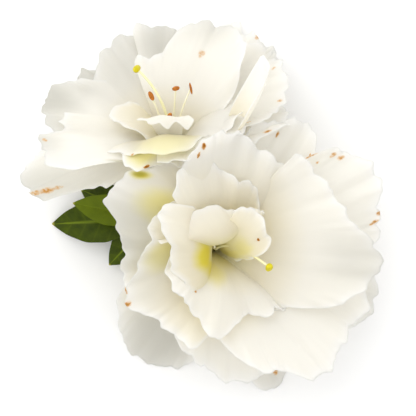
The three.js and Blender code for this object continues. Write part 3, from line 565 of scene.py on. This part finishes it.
# The small parts' finishes: two tones mixed by blotches, with a fine grain in relief, sizes in millimetres
plantFinishes = {
    # a juicy style with a smooth skin: pale, with a soft gloss
    "styleTissue": {"dark": "#f3edb4", "light": "#faf6d0", "blotchMm": 3, "grainMm": 0.3, "relief": 0.1,
                    "roughness": 0.45},
    # a stigma wet with its own gum: greenish yellow with small glints
    "stickyStigma": {"dark": "#c4b600", "light": "#e6d80c", "blotchMm": 0.8, "grainMm": 0.15, "relief": 0.5,
                     "roughness": 0.3},
    # a filament, smooth but drier than the style: nearly white, with less gloss
    "filamentTissue": {"dark": "#f6f0cc", "light": "#fcf8e2", "blotchMm": 3, "grainMm": 0.3, "relief": 0.1,
                       "roughness": 0.5},
    # an anther that has dried in the air, with a grainy skin: matt rusty brown
    "dryAnther": {"dark": "#94500a", "light": "#d2822a", "blotchMm": 0.7, "grainMm": 0.12, "relief": 0.6,
                  "roughness": 0.75},
    # a young stalk under fine down: light green and matt
    "downyStalk": {"dark": "#7d9140", "light": "#a8b565", "blotchMm": 1.5, "grainMm": 0.15, "relief": 0.7,
                   "roughness": 0.7},
    # a young shoot's bark, rough and finely cracked: quite matt
    "youngBark": {"dark": "#4a3a28", "light": "#8a7250", "blotchMm": 1.2, "grainMm": 0.25, "relief": 0.9,
                  "roughness": 0.85},
    # wood that a blade has cut: pale and dull
    "freshlyCutWood": {"dark": "#cdb98a", "light": "#e6d8b0", "blotchMm": 0.8, "grainMm": 0.1, "relief": 0.4,
                       "roughness": 0.8},
    # dry scales as thin as paper: dull brown
    "paperyBudScale": {"dark": "#5f4424", "light": "#94713f", "blotchMm": 0.9, "grainMm": 0.15, "relief": 0.6,
                       "roughness": 0.7},
}


def plantMaterial(name):
    material, tree = newMaterial(name)
    look = plantFinishes[name]
    onPiece = addNode(tree, "TexCoord").outputs["Object"]
    blotch = addNode(tree, "TexNoise",
                     {"Scale": perMetre(look["blotchMm"]), "Detail": 4.0, "Roughness": 0.6},
                     {"Vector": onPiece})
    tones = addNode(tree, "ValToRGB", {"stops": [(0.3, look["dark"]), (0.7, look["light"])]},
                    {"Fac": blotch.outputs["Fac"]})
    grain = addNode(tree, "TexNoise", {"Scale": perMetre(look["grainMm"]), "Detail": 2.0},
                    {"Vector": onPiece})
    relief = addNode(tree, "Bump", {"Strength": look["relief"], "Distance": 0.0002},
                     {"Height": grain.outputs["Fac"]})
    surface = addNode(tree, "BsdfPrincipled", {"Roughness": look["roughness"], "IOR": 1.45},
                      {"Base Color": tones.outputs["Color"], "Normal": relief.outputs["Normal"]})
    addNode(tree, "OutputMaterial", {}, {"Surface": surface.outputs["BSDF"]})
    return material


# Pistil and stamens: a style with a lobed knob, and filaments with ridged sacs
throat = {"radius": 10, "height": 15, "floor": 9, "ring": 1.9, "clearance": 0.6, "filamentRise": 6}
pistil = {"styleMm": 0.42, "tipMm": 0.34, "stigmaMm": frontStigma["radius"], "reachShare": 0.75, "lobes": 5,
          "lobeDepth": 0.14, "rings": 40, "knobSides": 30}
stamen = {"filamentMm": 0.26, "ridges": 2, "ridgeDepth": 0.35, "rings": 30, "sides": 10}


# A curve with three control points: it leaves the throat's floor along the axis, from a ring round its
# middle, and turns to the tip where it has gone as far as bend. arc moves the middle control point.
def throatCurve(bloom, tip, ring, azimuth, bend, count, arc=(0, 0, 0)):
    axis, east, north = bloomFrame(bloom)
    dish = (throat["height"] - throat["floor"]) / throat["radius"]
    outward = around(axis, east, north, math.radians(azimuth))[0]
    height = throat["floor"] + dish * ring + throat["clearance"]
    start = np.array(bloom["foot"]) + axis * height + ring * outward
    return drawnCurve([start, start + axis * bend + np.array(arc), np.array(tip)], count)


# A knob: a tube along a straight line, with half an ellipse's outline and lobes round it
def knob(place, direction, reach, radius, lobes, depth, rings=14, sides=24, firstShare=0.02):
    path = place + np.linspace(-reach, reach, rings)[:, None] * unit(direction)
    t = np.linspace(firstShare, 1 - firstShare, rings)
    outline = radius * np.sqrt(1 - (2 * t - 1) ** 2)
    angle = np.arange(sides) * 2 * np.pi / sides
    radii = outline[:, None] * (1 - depth * (0.5 - 0.5 * np.cos(lobes * angle)))[None, :]
    return closedTube(path, radii, sides)


def makeStamensAndPistil(bloom, materials):
    name = bloom["name"]
    line = throatCurve(bloom, bloom["styleTip"], 0, 0, bloom["styleBend"], pistil["rings"], bloom["styleArc"])
    style = closedTube(line, np.linspace(pistil["styleMm"], pistil["tipMm"], pistil["rings"]))
    makePiece(f"{name}Style", [style], materials["styleTissue"], [f"{name}_pistil"])
    size = pistil["stigmaMm"]
    stigma = knob(line[-1], line[-1] - line[-2], pistil["reachShare"] * size, size, pistil["lobes"],
                  pistil["lobeDepth"], sides=pistil["knobSides"])
    makePiece(f"{name}Stigma", [stigma], materials["stickyStigma"])
    for k, one in enumerate(bloom["stamens"]):
        line = throatCurve(bloom, one["tip"], throat["ring"], one["azimuth"], throat["filamentRise"],
                           stamen["rings"])
        thread = closedTube(line, np.full(stamen["rings"], stamen["filamentMm"]), stamen["sides"])
        makePiece(f"{name}Filament{k + 1}", [thread], materials["filamentTissue"],
                  [f"{name}_stamen_{k + 1}"])
        radius, length = one["antherMm"]
        sac = knob(line[-1], one["lie"], length / 2, radius, stamen["ridges"], stamen["ridgeDepth"])
        makePiece(f"{name}Anther{k + 1}", [sac], materials["dryAnther"])


# Stalk and calyx: a downy stalk with four control points, with a radius that swells and shrinks a little as a
# sine, a bowl with its radii by height, and sepals round the foot of the bloom's tube. A sepal's half width
# falls as the root of 1 - t^tipPower. It bellies out as a sine, flares as t^3 and is hollow as s^2.
stalk = {"radiusMm": 0.75, "swellShare": 0.05, "swellTurn": 19, "gapMm": 0.3, "riseMm": 4,
         "leaving": (2, 1, 1), "rings": 40, "sides": 14}
calyx = {"depthMm": 3, "heights": (-3.6, -3, -1.2, 0.2), "radii": (0.5, 1.1, 1.9, 2.35), "rings": 16,
         "sides": 24}
sepal = {"count": 5, "turn": 0.3, "lengthMm": 3.2, "widthMm": 1.9, "tipPower": 1.7, "edgeMm": 0.05,
         "startMm": -1.6, "outMm": 1.75, "bellyMm": 0.5, "flareMm": 0.9, "hollowMm": 0.35, "thickMm": 0.35,
         "rows": 16, "columns": 9}


def makeStalk(bloom, material):
    axis, east, north = bloomFrame(bloom)
    foot = np.array(bloom["foot"])
    cupFoot = foot - axis * (calyx["depthMm"] + stalk["gapMm"])
    controls = [shootTip, shootTip + np.array(stalk["leaving"]), cupFoot - axis * stalk["riseMm"], cupFoot]
    swelling = 1 + stalk["swellShare"] * np.sin(np.linspace(0, stalk["swellTurn"], stalk["rings"]))
    parts = [closedTube(drawnCurve(controls, stalk["rings"]), stalk["radiusMm"] * swelling, stalk["sides"])]
    heights = np.linspace(calyx["heights"][0], calyx["heights"][-1], calyx["rings"])
    bowl = foot - stalk["gapMm"] * axis + heights[:, None] * axis
    parts.append(closedTube(bowl, np.interp(heights, calyx["heights"], calyx["radii"]), calyx["sides"]))
    t, s = gridOf(sepal)
    halfWidth = sepal["widthMm"] / 2 * np.sqrt(np.clip(1 - t ** sepal["tipPower"], 0, 1)) + sepal["edgeMm"]
    radius = (sepal["outMm"] + sepal["bellyMm"] * np.sin(np.pi * t / 2) + sepal["flareMm"] * t ** 3
              - sepal["hollowMm"] * s ** 2)
    height = sepal["startMm"] + sepal["lengthMm"] * t
    for k in range(sepal["count"]):
        angle = 2 * math.pi * (k + sepal["turn"]) / sepal["count"]
        directions = (*around(axis, east, north, angle), axis)
        parts.append(closedSheet(placed(foot, (radius, halfWidth * s, height), directions), sepal["thickMm"]))
    makePiece(f"{bloom['name']}StalkAndCalyx", parts, material, [f"{bloom['name']}_stalk"])


# The fused foot of the petals, from the calyx to where they part: a funnel that widens as a power of its
# height, with ribs as a cosine round it
tube = {"bottomMm": 2.1, "topMm": 4.6, "flarePower": 1.6, "heightMm": 7.5, "ribs": 5, "ribDepth": 0.06,
        "wallMm": 0.5, "rows": 30, "columns": 73}


def makeTube(bloom, material):
    axis, east, north = bloomFrame(bloom)
    h = np.linspace(0, 1, tube["rows"])[:, None]
    angle = np.linspace(0, 2 * math.pi, tube["columns"])[None, :]
    radius = tube["bottomMm"] + (tube["topMm"] - tube["bottomMm"]) * h ** tube["flarePower"]
    radius = radius * (1 + tube["ribDepth"] * h * np.cos(tube["ribs"] * angle))
    distance = tube["heightMm"] * h + 0 * angle
    points = placed(bloom["foot"], (radius * np.cos(angle), radius * np.sin(angle), distance),
                    (east, north, axis))
    values = {kind: 0 * distance for kind in spotKinds}
    values["distance"] = distance
    values["inset"] = tube["heightMm"] + 0 * distance
    makePiece(f"{bloom['name']}Tube", [closedSheet(points, tube["wallMm"], values)], material)


# Leaves: a lens-shaped blade from beside the shoot's tip, folded up along its midrib and arched. Half its
# width is the foot's share and a power of a half sine wave, so that it ends in a point. The side veins are
# furrows, a squared cosine that runs forward, and the midrib is a groove with a bell-shaped section.
leafForm = {"young": 0, "arch": 2, "fold": 0.25, "footMm": 0.6, "footTaper": 0.95, "broadest": 1.15,
            "fullness": 0.9, "wavyShare": 0.015, "wavyTurn": 31, "twistMm": 0.25, "twistTurn": 5,
            "veins": 7, "veinLean": 0.09, "furrowMm": 0.16, "midribMm": 0.22, "midribWideMm": 0.35,
            "thickMm": 0.35, "edgeShare": 0.5, "rows": 110, "columns": 61}
leaves = [
    {"tip": (-45.1, -4.6, 0.6), "width": 12, "arch": 3},
    {"tip": (-38.2, 1.4, 9), "width": 8.5, "young": 0.45},
    {"tip": (-36.4, 5.2, 4), "width": 10},
    {"tip": (-28.4, -16.4, 3), "width": 9},
]


def makeLeaf(k, leaf, material):
    form = {**leafForm, **leaf}
    run = np.array(form["tip"], float) - shootTip
    sideways = np.array([-run[1], run[0], 0]) / math.hypot(run[0], run[1])
    t, s = gridOf(form)
    widening = np.sin(np.pi * t ** form["broadest"]) ** form["fullness"]
    halfWidth = form["footMm"] * (1 - form["footTaper"] * t) + (form["width"] - form["footMm"]) / 2 * widening
    halfWidth = halfWidth * (1 + form["wavyShare"] * np.sin(form["wavyTurn"] * t + 2 * k))
    furrow = np.cos(np.pi * form["veins"] * (t - form["veinLean"] * np.abs(s))) ** 2
    midrib = np.exp(-(s * halfWidth / form["midribWideMm"]) ** 2) * (1 - t)
    height = (form["arch"] * 4 * t * (1 - t) + form["fold"] * np.abs(s) * halfWidth
              + form["furrowMm"] * furrow * (1 - np.abs(s)) * np.sin(np.pi * t) ** 0.5
              - form["midribMm"] * midrib + form["twistMm"] * s * np.sin(form["twistTurn"] * t + k))
    points = placed(shootTip, (t, s * halfWidth, height), (run, sideways, (0, 0, 1)))
    thick = form["thickMm"] * (1 - form["edgeShare"] * np.abs(s)) + 0 * t
    values = {"veinDepth": furrow + 0 * s, "across": np.abs(s) + 0 * t, "young": form["young"] + 0 * s * t}
    makePiece(f"leaf{k + 1}", [closedSheet(points, thick, values)], material, [f"leaf_{k + 1}"])


# Azalea leaf: a leathery green blade with a waxy skin, so it has a broad soft gloss. The midrib and the side
# veins are paler lines sunk in it, a young leaf is a fresher green, and the very tip is yellow.
leafFinish = {
    "dark": "#354208", "green": "#4c5c08", "fresh": "#84981c", "vein": "#74861c", "tip": "#c9bf5a",
    "blotchMm": 2.86, "grainMm": 0.4545, "midribFrom": 0.12, "midribTo": 0.02, "sideVeinShare": 0.12,
    "tipFrom": 0.965, "throughLight": "#7f9a20", "throughShare": 0.12, "roughness": 0.4, "shine": 0.13,
}


def leafMaterial():
    material, tree = newMaterial("waxyLeafBlade")
    look = leafFinish
    onSheet = addNode(tree, "UVMap", {"uv_map": "surface"})
    onPiece = addNode(tree, "TexCoord").outputs["Object"]
    blotch = addNode(tree, "TexNoise",
                     {"Scale": perMetre(look["blotchMm"]), "Detail": 5.0, "Roughness": 0.6},
                     {"Vector": onPiece})
    greens = addNode(tree, "ValToRGB", {"stops": [(0.3, look["dark"]), (0.72, look["green"])]},
                     {"Fac": blotch.outputs["Fac"]})
    point = {name: addNode(tree, "Attribute", {"attribute_name": name}).outputs["Fac"]
             for name in ("young", "across", "veinDepth")}
    midrib = addNode(tree, "MapRange", {"From Min": look["midribFrom"], "From Max": look["midribTo"]},
                     {"Value": point["across"]})
    sideVein = addNode(tree, "MapRange",
                       {"From Min": 0.1, "From Max": 0.0, "To Max": look["sideVeinShare"]},
                       {"Value": point["veinDepth"]})
    eitherVein = addNode(tree, "Math", {"operation": "MAXIMUM"},
                         {0: midrib.outputs["Result"], 1: sideVein.outputs["Result"]})
    alongAcross = addNode(tree, "SeparateXYZ", {}, {"Vector": onSheet.outputs["UV"]})
    atTip = addNode(tree, "MapRange", {"From Min": look["tipFrom"], "From Max": 1.0},
                    {"Value": alongAcross.outputs["Y"]})
    colour = greens.outputs["Color"]
    for share, tone in ((point["young"], "fresh"), (eitherVein.outputs["Value"], "vein"),
                        (atTip.outputs["Result"], "tip")):
        toned = addNode(tree, "Mix", {"data_type": "RGBA", colourB: linearColour(look[tone])},
                        {"Factor": share, colourA: colour})
        colour = toned.outputs[mixed]
    grain = addNode(tree, "TexVoronoi", {"Scale": perMetre(look["grainMm"])}, {"Vector": onPiece})
    relief = addNode(tree, "Bump", {"Strength": 0.35, "Distance": 0.0001},
                     {"Height": grain.outputs["Distance"]})
    surface = addNode(tree, "BsdfPrincipled", {
        "Roughness": look["roughness"], "IOR": 1.45, "Specular IOR Level": look["shine"],
    }, {"Base Color": colour, "Normal": relief.outputs["Normal"]})
    through = addNode(tree, "BsdfTranslucent", {"Color": linearColour(look["throughLight"])})
    endThin(tree, surface, through, look["throughShare"])
    return material


# Twig: bark carried along a curve with three control points. To its tapering radius come two sines round it
# as cracks, one wandering and one winding, and bell-shaped rings as leaf scars. Its cut end is pale wood. Its
# tip is a swollen node with bud scales, where the leaves and stalks spring. A scale's width is half an
# ellipse, and each next one stands a golden angle further round and stepMm further along.
twig = {"radiusMm": 1.55, "taper": 0.08, "bow": (1.5, 1.5, -0.8), "rings": 160, "sides": 48,
        "wanderingMm": 0.05, "wanderingRound": 9, "wander": 6, "wanderTurn": 17,
        "windingMm": 0.035, "windingRound": 17, "windingTurn": 41,
        "scars": 9, "scarMm": 0.22, "scarTilt": 0.15, "scarSpan": 0.004}
cutWood = {"places": (-0.2, 0.02, 0.08, 0.1), "radii": (1.4, 1.4, 1.25, 0.4), "sides": 40}
twigNode = {"radiusMm": 2.3, "reachMm": 2.2, "rings": 20, "sides": 32, "lobes": 5, "lobeDepth": 0.1}
budScale = {"count": 9, "goldenAngle": 2.4, "halfWidthMm": 1.0, "edgeMm": 0.05, "outMm": 1.9, "swellMm": 0.9,
            "closeMm": 0.5, "hollowMm": 0.25, "startMm": -1.8, "stepMm": 0.25, "lengthMm": 2.2,
            "thickMm": 0.2, "rows": 12, "columns": 9}


def makeTwig(materials):
    middle = (cutEnd + shootTip) / 2 + np.array(twig["bow"])
    line = drawnCurve([cutEnd, 2 * middle - (cutEnd + shootTip) / 2, shootTip], twig["rings"])
    t = np.linspace(0, 1, twig["rings"])[:, None]
    angle = (np.arange(twig["sides"]) * 2 * np.pi / twig["sides"])[None, :]
    wandering = np.sin(twig["wanderingRound"] * angle + twig["wander"] * np.sin(twig["wanderTurn"] * t))
    winding = np.sin(twig["windingRound"] * angle - twig["windingTurn"] * t)
    fromScar = (t * twig["scars"] + twig["scarTilt"] * np.cos(angle)) % 1 - 0.5
    radii = (twig["radiusMm"] * (1 - twig["taper"] * t) + twig["wanderingMm"] * wandering
             + twig["windingMm"] * winding + twig["scarMm"] * np.exp(-fromScar ** 2 / twig["scarSpan"]))
    makePiece("twigBark", [closedTube(line, radii, twig["sides"])], materials["youngBark"], ["twig"])
    disc = line[0] + np.array(cutWood["places"])[:, None] * unit(line[0] - line[1])
    makePiece("twigCutWood", [closedTube(disc, cutWood["radii"], cutWood["sides"])],
              materials["freshlyCutWood"])
    ahead = unit(line[-1] - line[-2])
    size = [twigNode[key] for key in ("reachMm", "radiusMm", "lobes", "lobeDepth", "rings", "sides")]
    parts = [knob(shootTip, ahead, *size)]
    side = unit(np.cross(ahead, [0, 0, 1]))
    top = np.cross(side, ahead)
    a, s = gridOf(budScale)
    halfWidth = budScale["halfWidthMm"] * np.sqrt(np.clip(1 - a ** 2, 0, 1)) + budScale["edgeMm"]
    radius = (budScale["outMm"] + budScale["swellMm"] * a - budScale["closeMm"] * a ** 2
              - budScale["hollowMm"] * s ** 2)
    for k in range(budScale["count"]):
        along = budScale["startMm"] + budScale["stepMm"] * k + budScale["lengthMm"] * a
        directions = (*around(ahead, side, top, budScale["goldenAngle"] * k), ahead)
        points = placed(shootTip, (radius, halfWidth * s, along), directions)
        parts.append(closedSheet(points, budScale["thickMm"]))
    makePiece("budScales", parts, materials["paperyBudScale"])
    print("twig, cut end and bud scales")


petalTissue = petalMaterial()
plantMaterials = {name: plantMaterial(name) for name in plantFinishes}
leafGreen = leafMaterial()
print("materials")

makeTwig(plantMaterials)
for k, leaf in enumerate(leaves):
    makeLeaf(k, leaf, leafGreen)
print("leaves")
for bloom in (frontBloom, rearBloom):
    makeStalk(bloom, plantMaterials["downyStalk"])
    makeTube(bloom, petalTissue)
    makePetals(bloom, petalTissue)
    makeStamensAndPistil(bloom, plantMaterials)

# Floor, light and camera. The camera looks straight down from heightMm, and the lens shows 0.27 mm of the
# blooms' rims in a pixel.
floorLook = {"sizeM": 6.0, "colour": "#fdfdfd", "grainMm": 1.11}
light = {"skyStrength": 1.03, "keyWatts": 4.8, "keyPlace": (-0.45, 0.65, 0.85), "keySize": 1.1}
view = {"lensMm": 109.9, "sensorMm": 36, "heightMm": 368.0, "nearest": 0.01, "farthest": 20}

# White board, painted matt: it scatters light evenly, so the shadows on it stay soft
floorMaterial, floorTree = newMaterial("mattWhiteBoard")
floorPlace = addNode(floorTree, "TexCoord")
floorGrain = addNode(floorTree, "TexNoise", {"Scale": perMetre(floorLook["grainMm"])},
                     {"Vector": floorPlace.outputs["Object"]})
floorRelief = addNode(floorTree, "Bump", {"Strength": 0.02}, {"Height": floorGrain.outputs["Fac"]})
floorSurface = addNode(floorTree, "BsdfPrincipled",
                       {"Base Color": linearColour(floorLook["colour"]), "Roughness": 0.9},
                       {"Normal": floorRelief.outputs["Normal"]})
addNode(floorTree, "OutputMaterial", {}, {"Surface": floorSurface.outputs["BSDF"]})
half = floorLook["sizeM"] / 2
floorCorners = [(-half, -half, 0), (half, -half, 0), (half, half, 0), (-half, half, 0)]
floorMesh = bpy.data.meshes.new("floor")
floorMesh.from_pydata(floorCorners, [], [(0, 1, 2, 3)])
floorMesh.materials.append(floorMaterial)
floor = bpy.data.objects.new("floor", floorMesh)
bpy.context.scene.collection.objects.link(floor)

world = bpy.data.worlds.new("softWhiteRoom")
world.use_nodes = True
world.node_tree.nodes["Background"].inputs["Color"].default_value = (1, 1, 1, 1)
world.node_tree.nodes["Background"].inputs["Strength"].default_value = light["skyStrength"]
bpy.context.scene.world = world
lamp = bpy.data.lights.new("keySoftbox", "AREA")
lamp.energy, lamp.size = light["keyWatts"], light["keySize"]
key = bpy.data.objects.new("keySoftbox", lamp)
bpy.context.scene.collection.objects.link(key)
key.location = light["keyPlace"]
key.rotation_euler = (-key.location).to_track_quat("-Z", "Y").to_euler()

bpy.context.scene.view_settings.view_transform = "Standard"
bpy.context.scene.view_settings.look = "None"
cameraData = bpy.data.cameras.new("camera")
cameraData.lens, cameraData.sensor_width = view["lensMm"], view["sensorMm"]
cameraData.clip_start, cameraData.clip_end = view["nearest"], view["farthest"]
camera = bpy.data.objects.new("camera", cameraData)
bpy.context.scene.collection.objects.link(camera)
camera.location = (np.array([0, 0, view["heightMm"]]) + layoutShift) * metresPerMm
bpy.context.scene.camera = camera
print("floor, light and camera")
